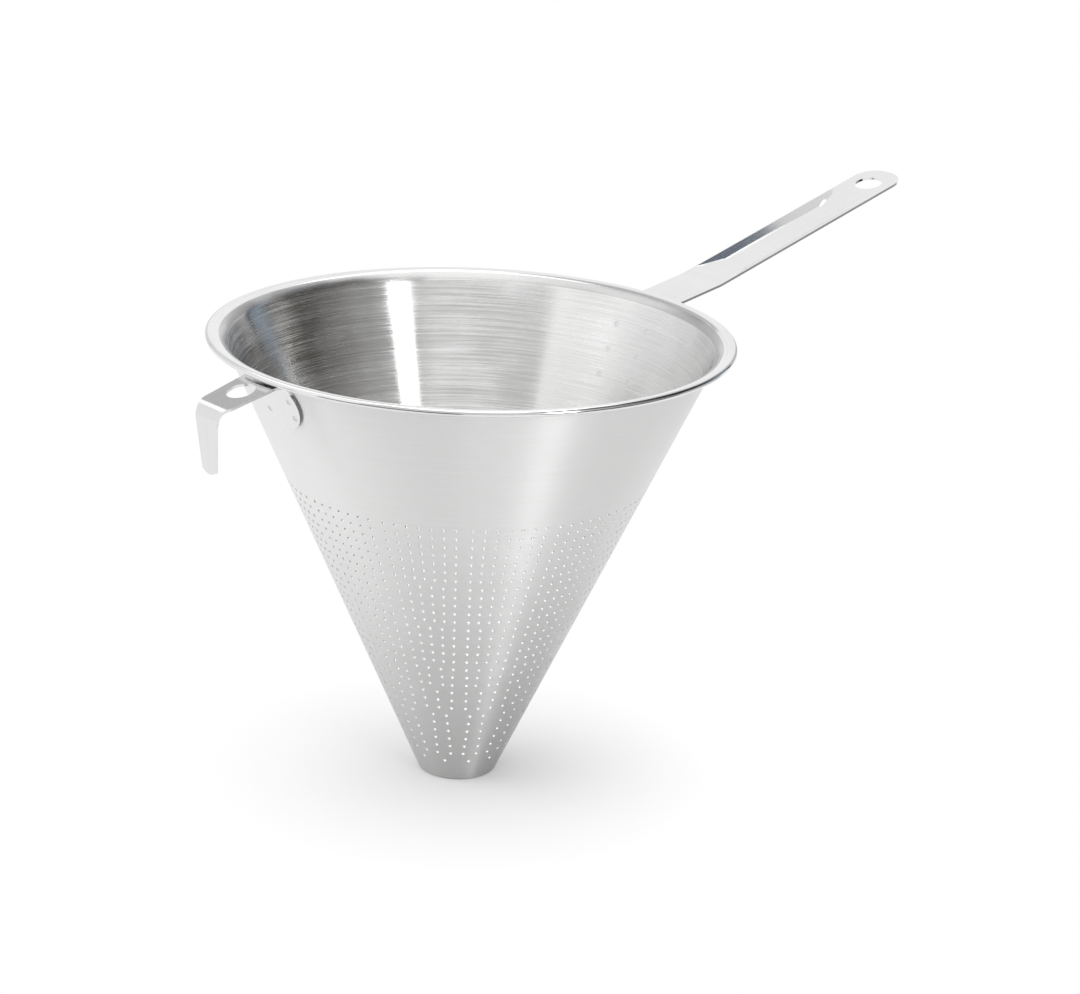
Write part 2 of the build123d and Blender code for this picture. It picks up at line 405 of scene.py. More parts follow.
# Painted light: the inside is lighter from 150 mm down, fully so below 110 mm.
BRUSHED_INSIDE = SteelFinish(
    name="brushed_steel_inside", dark=(0.7, 0.696, 0.69), light=(0.89, 0.888, 0.885),
    roughness_low=0.15, roughness_high=0.31, lines=Lines.AROUND, line_width=0.7 * MM,
    line_length_turns=2.0, line_depth=0.005 * MM, anisotropy=1.0,
    painted_light_from=110.0 * MM, painted_light_below=150.0 * MM, painted_light_share=1.1,
)
SATIN_FLARE = SteelFinish(
    name="satin_steel_flare", dark=(0.53, 0.528, 0.526), light=(0.59, 0.589, 0.587),
    roughness_low=0.22, roughness_high=0.3, lines=Lines.AROUND, line_width=0.4 * MM,
    line_length_turns=3.0, line_depth=0.0015 * MM, anisotropy=1.0,
)
POLISHED_RIM = SteelFinish(
    name="polished_steel_rim", dark=(0.76, 0.76, 0.76), light=(0.84, 0.84, 0.84),
    roughness_low=0.08, roughness_high=0.14, lines=Lines.AROUND, line_width=0.6 * MM,
    line_length_turns=3.0, line_depth=0.001 * MM,
)
SATIN_HANDLE = SteelFinish(
    name="satin_steel_handle", dark=(0.77, 0.77, 0.773), light=(0.82, 0.82, 0.823),
    roughness_low=0.1, roughness_high=0.15, lines=Lines.ALONG_HANDLE, line_width=0.4 * MM,
    line_length_turns=30.0, line_depth=0.0006 * MM,
)
# Painted shade: the cut edge of the hook's tab by the cone is darkened, for the shadow in its gap
# there.
SATIN_HOOK = SteelFinish(
    name="satin_steel_hook", dark=(0.75, 0.75, 0.755), light=(0.81, 0.81, 0.815),
    roughness_low=0.12, roughness_high=0.18, lines=Lines.ALONG_HOOK, line_width=0.4 * MM,
    line_length_turns=30.0, line_depth=0.0008 * MM, painted_edge_shade_share=0.3,
)
SPOT_WELD = SteelFinish(
    name="spot_weld_steel", dark=(0.66, 0.655, 0.65), light=(0.76, 0.757, 0.753),
    roughness_low=0.28, roughness_high=0.4, lines=Lines.AROUND, line_width=0.5 * MM,
    line_length_turns=12.0, line_depth=0.004 * MM,
)


# The cone's mesh


class Region(Enum):
    """The cone's finishes, in the order of its material slots."""

    OUTSIDE = 0
    INSIDE = 1
    RIM = 2
    FLARE = 3


@dataclass
class MeshBook:
    """Gathers a mesh's points and faces, with one entry for points that coincide."""

    points: list[Vector] = field(default_factory=list)
    faces: list[tuple[int, ...]] = field(default_factory=list)
    normals: list[Vector] = field(default_factory=list)
    regions: list[int] = field(default_factory=list)
    places: dict[tuple[int, int, int], int] = field(default_factory=dict)

    def point(self, at: Vector) -> int:
        """Gives the number of a point, added if it is new."""
        key = tuple(round(value * POINTS_PER_METRE) for value in at)
        found = self.places.get(key)
        if found is None:
            found = len(self.points)
            self.places[key] = found
            self.points.append(at)
        return found

    def face(self, corners: Sequence[Vector], normals: Sequence[Vector], region: Region) -> None:
        """Adds a face, unless its corners fall together.

        Args:
            corners: Its corners.
            normals: The surface's normal at each corner, which also says which side is out.
            region: Its finish.
        """
        numbers = [self.point(corner) for corner in corners]
        kept = [i for i, number in enumerate(numbers) if number != numbers[i - 1]]
        if len(kept) < 3:
            return
        numbers = [numbers[i] for i in kept]
        normals = [normals[i] for i in kept]
        a, b, c = (self.points[number] for number in numbers[:3])
        if (b - a).cross(c - a).dot(normals[0]) < 0.0:
            numbers.reverse()
            normals.reverse()
        self.faces.append(tuple(numbers))
        self.normals.extend(normals)
        self.regions.append(region.value)

    def build(self, name: str, materials: Iterable[bpy.types.Material]) -> bpy.types.Object:
        """Makes the object.

        Args:
            name: Its name.
            materials: Its materials, in the order of the regions.

        Returns:
            The object, in the scene.
        """
        mesh = bpy.data.meshes.new(name)
        mesh.from_pydata([tuple(point) for point in self.points], [], self.faces)
        for material in materials:
            mesh.materials.append(material)
        mesh.polygons.foreach_set("material_index", self.regions)
        mesh.polygons.foreach_set("use_smooth", [True] * len(self.faces))
        mesh.update()
        mesh.normals_split_custom_set([tuple(normal) for normal in self.normals])
        return add_object(name, mesh)


@dataclass(frozen=True)
class Circle:
    """A circle, drawn with some number of sides."""

    radius: float
    sides: int

    def points(self, first: float = 0.0) -> list[Vector]:
        """Gives its points round the origin, the first of them at an angle in radians."""
        turns = [first + math.tau * i / self.sides for i in range(self.sides)]
        return [self.radius * flat_ray(turn) for turn in turns]


@dataclass
class FlatSheet:
    """A flat sheet with round holes of one size, laid out to be divided into triangles."""

    centres: Sequence[Vector]
    hole: Circle
    points: list[Vector] = field(default_factory=list)
    edges: list[tuple[int, int]] = field(default_factory=list)

    def clear(self, at: Vector, distance: float) -> bool:
        """Tells whether a place is further than a distance from the middle of every hole."""
        return all((at - centre).length > distance for centre in self.centres)

    def loop(self, points: Iterable[Vector]) -> list[int]:
        """Adds a closed line through new points.

        Args:
            points: The points, in order.

        Returns:
            Their numbers.
        """
        first = len(self.points)
        self.points.extend(points)
        numbers = list(range(first, len(self.points)))
        self.edges.extend(zip(numbers, numbers[1:] + numbers[:1]))
        return numbers

    def divide(
        self, outline: list[int], within: Iterable[Vector] = (), margin: float = 0.0
    ) -> tuple[list[Vector], list[Sequence[int]], list[list[int]]]:
        """Divides the sheet into triangles round its holes.

        Args:
            outline: The numbers of the outline's points, whose edges are in already.
            within: More points to use, except close to a hole.
            margin: How far from a hole's edge these have to be.

        Returns:
            The points, the triangles, and each hole's ring of points.
        """
        round_hole = self.hole.points()
        rings = [self.loop(centre + point for point in round_hole) for centre in self.centres]
        self.points.extend(at for at in within if self.clear(at, self.hole.radius + margin))
        made, _, triangles, sources, _, _ = delaunay_2d_cdt(
            self.points, self.edges, [outline], 1, SAME_POINT)
        kept = [
            (a, b, c) for a, b, c in triangles
            if self.clear((made[a] + made[b] + made[c]) / 3, self.hole.radius * HOLE_SHARE)
        ]
        numbers = {source: number for number, group in enumerate(sources) for source in group}
        return made, kept, [[numbers[i] for i in ring] for ring in rings]


@dataclass(frozen=True)
class HoleRows:
    """Some rows of drain holes that have as many holes in each sector.

    The gap is the angle without a hole between two sectors, at the first and last of the rows. The
    middle angle, where it is given, parts the holes into two equal groups.
    """

    rows: int
    holes: int
    first_gap: float
    last_gap: float
    first_middle: float = 0.0
    last_middle: float = 0.0

    def angles(self, row: int, sector: float) -> list[float]:
        """Gives the holes' angles in one row.

        Args:
            row: The row's number among these rows, from 0.
            sector: The sector's angle.

        Returns:
            The angles, from the sector's middle.
        """
        share = row / max(self.rows - 1, 1)
        gap = self.first_gap + (self.last_gap - self.first_gap) * share
        middle = self.first_middle + (self.last_middle - self.first_middle) * share
        span = sector - gap
        if self.holes == 1:
            return [0.0]
        if middle:
            step = (span - middle) / (self.holes - 2)
            half = [middle / 2 + step * i for i in range(self.holes // 2)]
            return [-angle for angle in reversed(half)] + half
        step = span / (self.holes - 1)
        return [step * i - span / 2 for i in range(self.holes)]


@dataclass(frozen=True)
class WeldRows:
    """Rows of two spot welds on a tab, with the first and last as distances down it from its top."""

    bearing: float
    first: float
    last: float
    rows: int
    aside: float


@dataclass
class StrainerCone:
    """The cone: tip, perforated wall, flare and rolled rim, all of one sheet."""

    rim_radius: float = 120.0 * MM
    height: float = 211.6 * MM
    tip_radius: float = 17.8 * MM
    flare_width: float = 6.8 * MM
    wall: float = 0.8 * MM
    tip_bend: float = 2.0 * MM
    flare_bend: float = 8.0 * MM
    roll_width: float = 2.8 * MM
    roll_bend: float = 0.525 * MM
    tip_hole: Circle = Circle(0.8 * MM, 16)
    tip_hole_ring: Circle = Circle(5.1 * MM, 6)
    tip_flat_radius: float = 12.0 * MM

    sectors: int = 13
    sector_edge: float = 4.4
    hole: Circle = Circle(0.8 * MM, 14)
    first_row: float = 145.9 * MM
    row_pitch: float = 4.631 * MM
    row_groups: tuple[HoleRows, ...] = (
        HoleRows(7, 7, 5.0, 5.2),
        HoleRows(5, 6, 5.5, 5.9),
        HoleRows(5, 5, 6.2, 6.7),
        HoleRows(1, 4, 7.1, 7.1),
        HoleRows(2, 4, 8.3, 8.6, 7.6, 8.0),
        HoleRows(3, 3, 9.0, 9.7),
        HoleRows(6, 2, 17.6, 13.2),
        HoleRows(1, 1, 0.0, 0.0),
    )
    sector_steps: int = 24
    mesh_step: float = 2.6 * MM
    mesh_margin: float = 0.5 * MM
    bend_step: float = 9.0

    weld: Circle = Circle(1.5 * MM, 24)
    tab_top: float = 205.0 * MM
    handle_welds: WeldRows = WeldRows(0.0, 9.7 * MM, 34.9 * MM, 3, 9.7 * MM)
    hook_welds: WeldRows = WeldRows(HOOK_BEARING, 5.5 * MM, 14.3 * MM, 2, 9.0 * MM)
    plain_top: float = 203.0 * MM
    brushed_top: float = 207.6 * MM
    polished_from: float = 113.9 * MM
    roll_share: float = 0.4

    book: MeshBook = field(default_factory=MeshBook)

    def __post_init__(self) -> None:
        """Works out the wall's slope."""
        self.slope = (self.rim_radius - self.flare_width - self.tip_radius) / self.height
        self.lean = math.atan(self.slope)
        self.apex = -self.tip_radius / self.slope

    def radius(self, height: float) -> float:
        """Gives the radius of the wall's outside at a height."""
        return self.tip_radius + self.slope * height

    def slant(self, height: float) -> float:
        """Gives the distance along the wall from the cone's apex to a height."""
        return (height - self.apex) / math.cos(self.lean)

    def outward(self, angle: float) -> Vector:
        """Gives the wall's outward normal at an angle about the axis, in radians."""
        flat = math.cos(self.lean)
        return Vector((flat * math.cos(angle), flat * math.sin(angle), -math.sin(self.lean)))

    def on_wall(self, slant: float, angle: float, depth: float = 0.0) -> Vector:
        """Gives a point of the wall.

        Args:
            slant: Its distance from the apex, along the wall.
            angle: Its angle about the axis, in radians.
            depth: How far it lies under the outside.

        Returns:
            The point.
        """
        reach = slant * math.sin(self.lean)
        height = self.apex + slant * math.cos(self.lean)
        at = Vector((reach * math.cos(angle), reach * math.sin(angle), height))
        return at - self.outward(angle) * depth

    def hole_places(self) -> list[Point]:
        """Gives each drain hole of a sector as its slant and its angle from the sector's middle."""
        sector = 360.0 / self.sectors
        places: list[Point] = []
        height = self.first_row
        for group in self.row_groups:
            for row in range(group.rows):
                for angle in group.angles(row, sector):
                    places.append((self.slant(height), math.radians(angle)))
                height -= self.row_pitch
        return places

    def weld_places(self) -> list[Point]:
        """Gives each spot weld as its slant and its angle about the axis."""
        places: list[Point] = []
        for tab in (self.handle_welds, self.hook_welds):
            for row in range(tab.rows):
                down = tab.first + (tab.last - tab.first) * row / (tab.rows - 1)
                height = self.tab_top - down * math.cos(self.lean)
                turn = math.asin(tab.aside / self.radius(height))
                for side in (-turn, turn):
                    places.append((self.slant(height), math.radians(tab.bearing) + side))
        return places

    def both_faces(
        self, outside: Sequence[Vector], inside: Sequence[Vector], normals: Sequence[Vector],
        triangles: Iterable[Sequence[int]], rings: Iterable[Sequence[int]], centres: Iterable[Vector]
    ) -> None:
        """Adds both faces of a stretch of the sheet, and the walls of its holes.

        Args:
            outside: The points of its outside.
            inside: The points of its inside, under those.
            normals: The outside's normal at each point.
            triangles: The numbers of each triangle's points.
            rings: The numbers of the points round each hole.
            centres: Each hole's middle, on the outside.
        """
        for corners in triangles:
            self.book.face([outside[i] for i in corners], [normals[i] for i in corners], Region.OUTSIDE)
            self.book.face([inside[i] for i in corners], [-normals[i] for i in corners], Region.INSIDE)
        for ring, centre in zip(rings, centres):
            towards = [(centre - outside[i]).normalized() for i in ring]
            for j, i in enumerate(ring):
                k = ring[j - 1]
                corners = [outside[i], outside[k], inside[k], inside[i]]
                ways = [towards[j], towards[j - 1], towards[j - 1], towards[j]]
                self.book.face(corners, ways, Region.INSIDE)

    def patch(
        self, low: float, high: float, middle: float, holes: Sequence[Point], hole: Circle
    ) -> None:
        """Adds a holed patch of the wall, one sector wide.

        Args:
            low: The slant of its lower edge.
            high: The slant of its upper edge.
            middle: The angle of its middle, in radians.
            holes: The holes' places, with angles from its middle.
            hole: The holes' shape.
        """
        flat, triangles, rings = self.plan(low, high, holes, hole)
        unroll = math.sin(self.lean)
        outside: list[Vector] = []
        inside: list[Vector] = []
        normals: list[Vector] = []
        for x, y in flat:
            slant = math.hypot(x, y)
            angle = middle + math.atan2(y, x) / unroll
            outside.append(self.on_wall(slant, angle))
            inside.append(self.on_wall(slant, angle, self.wall))
            normals.append(self.outward(angle))
        centres = [self.on_wall(slant, middle + angle) for slant, angle in holes]
        self.both_faces(outside, inside, normals, triangles, rings, centres)

    def plan(
        self, low: float, high: float, holes: Sequence[Point], hole: Circle
    ) -> tuple[list[Vector], list[Sequence[int]], list[list[int]]]:
        """Divides a flattened patch into triangles round its holes.

        Args:
            low: The slant of its lower edge.
            high: The slant of its upper edge.
            holes: The holes' places.
            hole: The holes' shape.

        Returns:
            The points, the triangles, and each hole's ring of points.
        """
        unroll = math.sin(self.lean)
        half = math.pi / self.sectors
        steps = max(2, round((high - low) / self.mesh_step))

        def unrolled(slant: float, angle: float) -> Vector:
            """Gives a point of the flattened wall."""
            return Vector((slant * math.cos(angle * unroll), slant * math.sin(angle * unroll)))

        sheet = FlatSheet([unrolled(*place) for place in holes], hole)
        turns = [half * (2 * i / self.sector_steps - 1) for i in range(self.sector_steps + 1)]
        slants = [low + (high - low) * i / steps for i in range(steps + 1)]
        line = [(low, turn) for turn in turns]
        line += [(slant, half) for slant in slants[1:]]
        line += [(high, turn) for turn in reversed(turns[:-1])]
        line += [(slant, -half) for slant in reversed(slants[1:-1])]
        outline = sheet.loop(unrolled(*place) for place in line)

        within: list[Vector] = []
        for slant in slants[1:-1]:
            across = max(2, round(2 * half * slant * unroll / self.mesh_step))
            within += [unrolled(slant, half * (2 * i / across - 1)) for i in range(1, across)]
        return sheet.divide(outline, within, self.mesh_margin)

    def bent_line(self, corners: Sequence[Point], radii: Sequence[float]) -> list[Drawn]:
        """Draws a bent line as points, with the direction it runs in at each.

        Args:
            corners: The line's corners.
            radii: The bend's radius at each inner corner.

        Returns:
            Each point with its direction.
        """
        drawn: list[Drawn] = []
        marks = [Vector(corner) for corner in corners]
        drawn.append((corners[0], tuple((marks[1] - marks[0]).normalized())))
        for before, corner, after, radius in zip(marks, marks[1:], marks[2:], radii):
            inward = (corner - before).normalized()
            leaving = (after - corner).normalized()
            turn = math.atan2(inward.cross(leaving), inward.dot(leaving))
            reach = radius * math.tan(abs(turn) / 2)
            side = math.copysign(1.0, turn)
            start = corner - inward * reach
            centre = start + Vector((-inward.y, inward.x)) * side * radius
            steps = max(4, round(abs(turn) / math.radians(self.bend_step)))
            for i in range(steps + 1):
                swing = Matrix.Rotation(turn * i / steps, 2)
                drawn.append((tuple(centre + swing @ (start - centre)), tuple(swing @ inward)))
        drawn.append((corners[-1], tuple((marks[-1] - marks[-2]).normalized())))
        return drawn

    def section(self) -> tuple[list[Drawn], list[Drawn]]:
        """Draws both faces of the sheet in the plane through the axis.

        Returns:
            The face that is outside on the wall, and the one that is inside, from the axis to the
            roll's tail.
        """
        under_flare = self.height - self.wall
        roll_edge = self.rim_radius - self.wall
        roll_base = self.height - self.roll_width + self.wall
        roll_tail = self.rim_radius - self.roll_width + self.wall
        corners = [
            (0.0, 0.0),
            (self.tip_radius, 0.0),
            (self.radius(under_flare), under_flare),
            (roll_edge, under_flare),
            (roll_edge, roll_base),
            (roll_tail, roll_base),
            (roll_tail, self.height - self.roll_width / 2),
        ]
        radii = [self.tip_bend, self.flare_bend] + [self.roll_bend] * 3
        marks = [Vector(corner) for corner in corners]
        runs = [(b - a).normalized() for a, b in zip(marks, marks[1:])]
        sides = [Vector((-run.y, run.x)) for run in runs]
        far = [marks[0] + sides[0] * self.wall]
        far_radii = []
        for i, radius in enumerate(radii):
            miter = (sides[i] + sides[i + 1]) / (1 + sides[i].dot(sides[i + 1]))
            far.append(marks[i + 1] + miter * self.wall)
            turns_left = runs[i].cross(runs[i + 1]) > 0
            far_radii.append(radius - self.wall if turns_left else radius + self.wall)
        far.append(marks[-1] + sides[-1] * self.wall)
        inner = self.bent_line([tuple(mark) for mark in far], far_radii)
        return self.bent_line(corners, radii), inner

    def turned(self, line: Sequence[Drawn], side: float, region: Callable[[Point], Region]) -> None:
        """Turns a line about the axis into a face of the sheet.

        Args:
            line: The line's points and directions.
            side: 1 where the surface looks to the line's right, -1 where it looks to its left.
            region: Gives the finish at a point.
        """
        around = self.sectors * self.sector_steps
        start = math.radians(self.sector_edge)
        rays = [flat_ray(start + math.tau * i / around).to_3d() for i in range(around)]
        for (low, low_way), (high, high_way) in zip(line, line[1:]):
            if math.dist(low, high) < SHORTEST_STEP:
                continue
            finish = region(((low[0] + high[0]) / 2, (low[1] + high[1]) / 2))
            for i, ray in enumerate(rays):
                other = rays[i - 1]
                ends = ((ray, low, low_way), (ray, high, high_way),
                        (other, high, high_way), (other, low, low_way))
                corners = [out * at[0] + UP * at[1] for out, at, _ in ends]
                normals = [(out * way[1] - UP * way[0]) * side for out, _, way in ends]
                self.book.face(corners, normals, finish)

    def disc(self) -> None:
        """Adds the flat middle of the tip, with its drain holes."""
        sheet = FlatSheet(self.tip_hole_ring.points(), self.tip_hole)
        edge = Circle(self.tip_flat_radius, self.sectors * self.sector_steps)
        outline = sheet.loop(edge.points(math.radians(self.sector_edge)))
        made, triangles, rings = sheet.divide(outline)
        low = [point.to_3d() for point in made]
        high = [point + UP * self.wall for point in low]
        centres = [centre.to_3d() for centre in sheet.centres]
        self.both_faces(low, high, [-UP] * len(low), triangles, rings, centres)

    def split(self, line: list[Drawn], depth: float, start: float, end: float) -> list[list[Drawn]]:
        """Cuts the holed stretch and the tip's flat middle out of a face's line.

        Args:
            line: The face's line, from the axis outwards.
            depth: How far the face lies under the wall's outside.
            start: The slant where the holed stretch starts.
            end: The slant where it ends.

        Returns:
            The line below the stretch, and the line above it.
        """
        wall_way = (math.sin(self.lean), math.cos(self.lean))
        cuts = []
        for slant in (start, end):
            at = self.on_wall(slant, 0.0, depth)
            cuts.append(((at.x, at.z), wall_way))
        first_up = next(i for i, (_, way) in enumerate(line) if way[1] > wall_way[1] - SAME_WAY)
        (_, first_height), first_way = line[0]
        below = [((self.tip_flat_radius, first_height), first_way)] + line[1:first_up + 1] + [cuts[0]]
        above = [cuts[1]] + line[first_up + 1:]
        return [below, above]

    def make(self) -> bpy.types.Object:
        """Makes the cone.

        Returns:
            The cone, with its finishes.
        """
        rows = sum(group.rows for group in self.row_groups)
        low = self.slant(self.first_row - (rows - 0.5) * self.row_pitch)
        band = self.slant(self.first_row + self.row_pitch / 2)
        high = self.slant(self.plain_top)
        sector = math.tau / self.sectors
        holes = self.hole_places()
        for i in range(self.sectors):
            middle = math.radians(self.sector_edge) + sector * (i + 0.5)
            self.patch(low, band, middle, holes, self.hole)
        welds = self.weld_places()
        for i in range(self.sectors):
            middle = math.radians(self.sector_edge) + sector * i
            near = []
            for slant, angle in welds:
                aside = (angle - middle + math.pi) % math.tau - math.pi
                if abs(aside) < sector / 2:
                    near.append((slant, aside))
            self.patch(band, high, middle, near, self.weld)
        outer, inner = self.section()
        self.disc()

        def outer_region(at: Point) -> Region:
            """Gives the finish on the face that is outside on the wall."""
            below_roll = at[1] < self.height - self.roll_width * self.roll_share
            return Region.OUTSIDE if below_roll else Region.RIM

        def inner_region(at: Point) -> Region:
            """Gives the finish on the face that is inside on the wall."""
            if at[1] < self.brushed_top:
                return Region.INSIDE
            return Region.FLARE if at[0] < self.polished_from else Region.RIM

        for line in self.split(outer, 0.0, low, high):
            self.turned(line, 1.0, outer_region)
        for line in self.split(inner, self.wall, low, high):
            self.turned(line, -1.0, inner_region)
        tail = [(outer[-1][0], (-1.0, 0.0)), (inner[-1][0], (-1.0, 0.0))]
        self.turned(tail, -1.0, outer_region)

        finishes = [SATIN_OUTSIDE, BRUSHED_INSIDE, POLISHED_RIM, SATIN_FLARE]
        cone = self.book.build("perforated_cone", [finish.material() for finish in finishes])
        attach(cone, "root")
        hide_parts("cone")
        drain_holes = len(holes) * self.sectors
        LOG.info("perforated cone: %d faces, %d drain holes", len(self.book.faces), drain_holes)
        return cone


@dataclass
class Fittings:
    """The handle, the pot hook and the spot welds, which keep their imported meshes."""

    nodes: dict[str, bpy.types.Object]

    def dress(self) -> None:
        """Gives each node its finish."""
        finishes = {"handle": SATIN_HANDLE.material(), "pot_hook": SATIN_HOOK.material()}
        weld = SPOT_WELD.material()
        for name, node in self.nodes.items():
            if name == "cone":
                continue
            finish = finishes.get(name, weld)
            node.data.materials.clear()
            node.data.materials.append(finish)
            LOG.info("%s: %s", name, finish.name)


# The studio


@dataclass(frozen=True)
class Board:
    """A curved board of the studio, seen only in the steel.

    Bearings are degrees from the camera's side, positive to the camera's right, and rises are degrees
    above the floor, both as seen from the object.
    """

    name: str
    first_bearing: float
    last_bearing: float
    low_rise: float
    high_rise: float
    colour: Colour
    last_colour: Colour
    distance: float = 1.7

    def corner(self, centre: Vector, ways: Ways, bearing: float, upper: bool) -> Vector:
        """Gives a point of the board's edge.

        Args:
            centre: What the board stands round.
            ways: Gives the direction at a bearing and a rise.
            bearing: The point's bearing.
            upper: Whether it is on the upper edge.

        Returns:
            The point.
        """
        return centre + ways(bearing, self.high_rise if upper else self.low_rise) * self.distance


@dataclass(frozen=True)
class FloorBoard(Board):
    """A board on the floor. Its low and high rise are its near and far distances in metres."""

    lift: float = 2.0 * MM

    def corner(self, centre: Vector, ways: Ways, bearing: float, upper: bool) -> Vector:
        """Gives a point of the board's edge, just above the floor, from what Board.corner takes."""
        reach = self.high_rise if upper else self.low_rise
        return Vector((centre.x, centre.y, self.lift)) + ways(bearing, 0.0) * reach


@dataclass(frozen=True)
class Lamp:
    """A flat lamp of even brightness, aimed at the object. Steel may be kept from mirroring it."""

    name: str
    bearing: float
    rise: float
    distance: float
    width: float
    height: float
    brightness: float
    mirrored: bool = True


@dataclass
class Studio:
    """The floor, the boards, the lamps, the world and the camera."""

    camera_place: Vector = field(default_factory=lambda: Vector((-0.9455, -0.9800, 0.5935)))
    target: Vector = field(default_factory=lambda: Vector((0.0238, -0.0241, 0.13515)))
    roll: float = 2.494
    lens: float = 104.25
    sensor_width: float = 36.0
    nearest: float = 0.05
    furthest: float = 50.0
    floor_size: float = 5.0
    floor_white: float = 0.95
    pale_start: float = 0.08
    pale_end: float = 0.3
    seen_pale_start: float = 0.0
    seen_pale_end: float = 0.118
    fill: float = 0.45
    board_steps: int = 12
    boards: tuple[Board, ...] = (
        Board("board_above_camera", -50.0, 60.0, 44.0, 54.0, grey(0.42), grey(0.34), 1.6),
        Board("board_behind_camera", -44.0, 33.0, -4.0, 44.0, grey(0.69), grey(0.73)),
        Board("board_beside_strip", 46.0, 70.0, -2.0, 36.0, grey(0.62), (0.29, 0.289, 0.287)),
        Board("board_over_strip", 33.0, 94.0, 36.0, 66.0, grey(0.12), grey(0.08), 1.65),
        Board("board_dark", 70.0, 94.0, 2.0, 66.0, (0.29, 0.287, 0.283), (0.06, 0.057, 0.052)),
        Board("board_brown", 94.0, 126.0, 2.0, 66.0, (0.03, 0.028, 0.025), (0.08, 0.07, 0.055)),
        Board("board_blue", 126.0, 138.0, 1.0, 58.0, (0.2, 0.26, 0.32), (0.28, 0.35, 0.43)),
        Board("board_edge", 138.0, 143.0, -2.0, 58.0, grey(0.03), (0.05, 0.05, 0.06)),
        Board("board_far_right", 143.0, 166.0, -2.0, 34.0, (0.55, 0.55, 0.57), grey(0.62)),
        Board("board_left", -135.0, -45.0, -4.0, 60.0, (0.82, 0.82, 0.83), grey(1.12)),
        Board("board_far_left", -166.0, -136.0, -4.0, 34.0, (0.8, 0.8, 0.81), (0.72, 0.72, 0.73)),
        Board(
            "board_over_handle", 145.0, 160.0, 45.0, 55.0,
            (0.14, 0.165, 0.205), (0.14, 0.165, 0.205), 0.45,
        ),
        Board("board_over_handle_end", 140.0, 158.0, 37.0, 45.0, grey(0.8), grey(0.8), 0.45),
        Board("board_over_hook", -174.0, -148.0, 24.0, 56.0, grey(0.62), grey(0.5)),
        Board("board_over_left", -146.0, -84.0, 38.0, 78.0, grey(1.4), grey(1.4), 1.3),
        FloorBoard("floor_edge", 48.0, 96.0, 0.62, 2.0, grey(0.02), grey(0.04)),
        FloorBoard("floor_front_left", -62.0, -4.0, 0.53, 2.2, grey(0.35), grey(0.04)),
        FloorBoard("floor_front_middle", -4.0, 28.0, 0.95, 2.2, grey(0.2), grey(0.04)),
        FloorBoard("floor_front_right", 28.0, 48.0, 0.62, 2.2, grey(0.25), grey(0.04)),
        FloorBoard("floor_edge_far", 96.0, 130.0, 0.62, 2.0, grey(0.3), (0.5, 0.5, 0.51)),
    )
    lamps: tuple[Lamp, ...] = (
        Lamp("strip_lamp", 39.5, 12.8, 2.3, 0.46, 1.28, 5.8),
        Lamp("top_lamp", 180.0, 76.0, 1.9, 1.5, 1.6, 0.8, False),
        Lamp("ceiling_lamp", 180.0, 89.0, 1.9, 3.2, 3.2, 0.78),
        Lamp("side_lamp", -80.0, 36.0, 2.3, 1.7, 1.2, 2.2),
    )

    def towards(self, bearing: float, rise: float) -> Vector:
        """Gives a direction.

        Args:
            bearing: Its bearing from the camera's side, in degrees.
            rise: Its rise above the floor, in degrees.

        Returns:
            The direction.
        """
        across = (self.camera_place.x - self.target.x, self.camera_place.y - self.target.y)
        flat = Vector((*across, 0.0)).normalized()
        flat.rotate(Quaternion(UP, math.radians(bearing)))
        return flat * math.cos(math.radians(rise)) + UP * math.sin(math.radians(rise))

    def place(self, name: str, mesh: bpy.types.Mesh) -> bpy.types.Object:
        """Puts a mesh in the scene, for a piece of the stage.

        Args:
            name: The piece's name.
            mesh: Its mesh.

        Returns:
            The piece.
        """
        made = add_object(name, mesh)
        return made

    def floor_material(self) -> bpy.types.Material:
        """Makes the floor's material: matt white, and plain white away from the object.

        Returns:
            The material.
        """
        made, bench = bare_material("studio_floor")
        place = bench.add("TexCoord").outputs["Object"]
        far = bench.add("VectorMath", {0: place}, operation="LENGTH").outputs["Value"]
        straight = bench.span(far, self.seen_pale_start, self.seen_pale_end, 0.0, 1.0)
        mirrored = bench.span(far, self.pale_start, self.pale_end, 0.0, 1.0)
        glossy = bench.add("LightPath").outputs["Is Glossy Ray"]
        straight = bench.math("MULTIPLY", straight, bench.straight_rays())
        pale_share = bench.math("MAXIMUM", straight, bench.math("MULTIPLY", mirrored, glossy))
        matt = bench.add("BsdfDiffuse", {"Color": (*grey(self.floor_white), 1.0)}).outputs[0]
        pale = bench.add("Emission").outputs[0]
        mix = bench.add("MixShader", {0: pale_share, 1: matt, 2: pale})
        bench.add("OutputMaterial", {"Surface": mix.outputs[0]})
        return made

    def lay_floor(self) -> None:
        """Lays the floor."""
        mesh = bpy.data.meshes.new("floor")
        half = self.floor_size
        corners = [(-half, -half, 0.0), (half, -half, 0.0), (half, half, 0.0), (-half, half, 0.0)]
        mesh.from_pydata(corners, [], [(0, 1, 2, 3)])
        mesh.materials.append(self.floor_material())
        self.place("floor", mesh)

    def board_material(self, board: Board) -> bpy.types.Material:
        """Makes a board's material, which runs evenly from its first colour to its last.

        Args:
            board: The board.

        Returns:
            The material.
        """
        made, bench = bare_material(board.name)
        along = bench.add("Attribute", attribute_name="along").outputs["Fac"]
        ends = {0: along, "A": (*board.colour, 1.0), "B": (*board.last_colour, 1.0)}
        mix = bench.add("Mix", ends, data_type="RGBA")
        glow = bench.add("Emission", {"Color": mix.outputs["Result"]})
        bench.add("OutputMaterial", {"Surface": glow.outputs[0]})
        return made

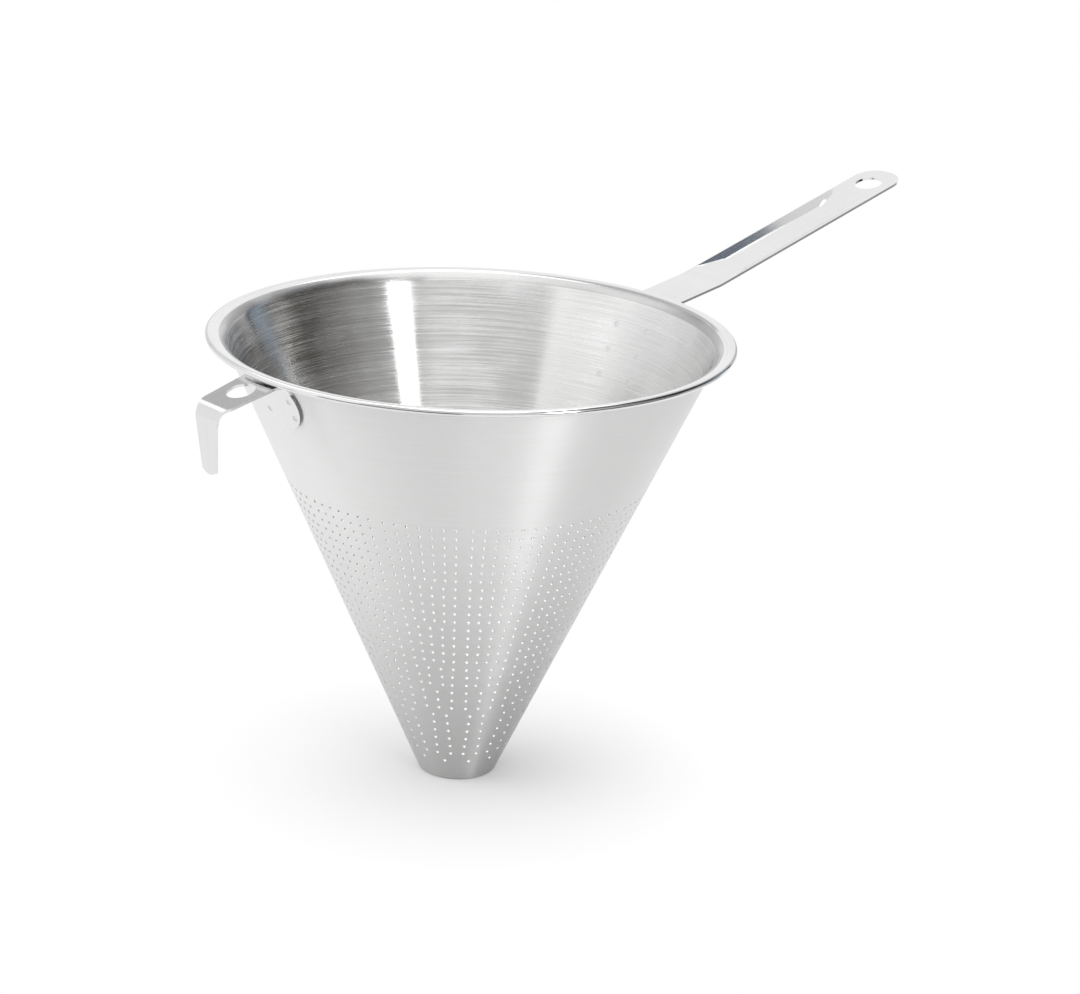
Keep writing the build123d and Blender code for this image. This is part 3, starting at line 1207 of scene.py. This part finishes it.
    def hang_boards(self) -> None:
        """Hangs the boards round the object."""
        steps = self.board_steps
        for board in self.boards:
            points: list[Vector] = []
            along: list[float] = []
            for i in range(steps + 1):
                share = i / steps
                bearing = board.first_bearing + (board.last_bearing - board.first_bearing) * share
                for upper in (False, True):
                    points.append(board.corner(self.target, self.towards, bearing, upper))
                    along.append(share)
            faces = [(2 * i, 2 * i + 1, 2 * i + 3, 2 * i + 2) for i in range(steps)]
            mesh = bpy.data.meshes.new(board.name)
            mesh.from_pydata([tuple(point) for point in points], [], faces)
            shares = mesh.attributes.new("along", "FLOAT", "POINT")
            shares.data.foreach_set("value", along)
            mesh.materials.append(self.board_material(board))
            made = self.place(board.name, mesh)
            made.visible_camera = False
            made.visible_diffuse = False
            made.visible_shadow = False
            made.visible_transmission = False

    def hang_lamps(self) -> None:
        """Hangs the lamps."""
        for lamp in self.lamps:
            data = bpy.data.lights.new(lamp.name, "AREA")
            data.shape = "RECTANGLE"
            data.size = lamp.width
            data.size_y = lamp.height
            data.energy = lamp.brightness * math.pi * lamp.width * lamp.height
            made = add_object(lamp.name, data)
            made.visible_glossy = lamp.mirrored
            way = self.towards(lamp.bearing, lamp.rise)
            made.location = self.target + way * lamp.distance
            made.rotation_mode = "QUATERNION"
            made.rotation_quaternion = way.to_track_quat("Z", "Y")

    def set_world(self) -> None:
        """Sets the world: white where it is seen, and softer as light on matt things."""
        world = bpy.data.worlds.new("studio")
        bpy.context.scene.world = world
        world.use_nodes = True
        world.node_tree.nodes.clear()
        bench = NodeBench(world.node_tree)
        white = bench.add("Background", {"Color": (*grey(1.0), 1.0)}).outputs[0]
        fill = bench.add("Background", {"Color": (*grey(self.fill), 1.0)}).outputs[0]
        glossy = bench.add("LightPath").outputs["Is Glossy Ray"]
        seen = bench.math("MINIMUM", bench.math("ADD", bench.straight_rays(), glossy), 1.0)
        mix = bench.add("MixShader", {0: seen, 1: fill, 2: white})
        bench.add("OutputWorld", {"Surface": mix.outputs[0]})

    def place_camera(self) -> None:
        """Places the camera at the photograph's angle."""
        data = bpy.data.cameras.new("camera")
        data.sensor_fit = "HORIZONTAL"
        data.sensor_width = self.sensor_width
        data.lens = self.lens
        data.clip_start = self.nearest
        data.clip_end = self.furthest
        made = add_object("camera", data)
        look = (self.target - self.camera_place).normalized()
        level = look.to_track_quat("-Z", "Y")
        made.location = self.camera_place
        made.rotation_mode = "QUATERNION"
        made.rotation_quaternion = level @ Quaternion(UP, math.radians(self.roll))
        bpy.context.scene.camera = made

    def set_up(self) -> None:
        """Sets the whole studio up."""
        view = bpy.context.scene.view_settings
        view.view_transform = "Standard"
        self.place_camera()
        self.lay_floor()
        self.hang_boards()
        self.hang_lamps()
        self.set_world()
        LOG.info("studio: %d boards, %d lamps", len(self.boards), len(self.lamps))


def main() -> None:
    """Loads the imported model, makes the cone, dresses the fittings and sets the studio up."""
    logging.basicConfig(level=logging.INFO)
    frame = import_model()
    Studio().set_up()
    Fittings(frame["nodes"]).dress()
    StrainerCone().make()
    bpy.context.view_layer.update()


if __name__ == "__main__":
    main()
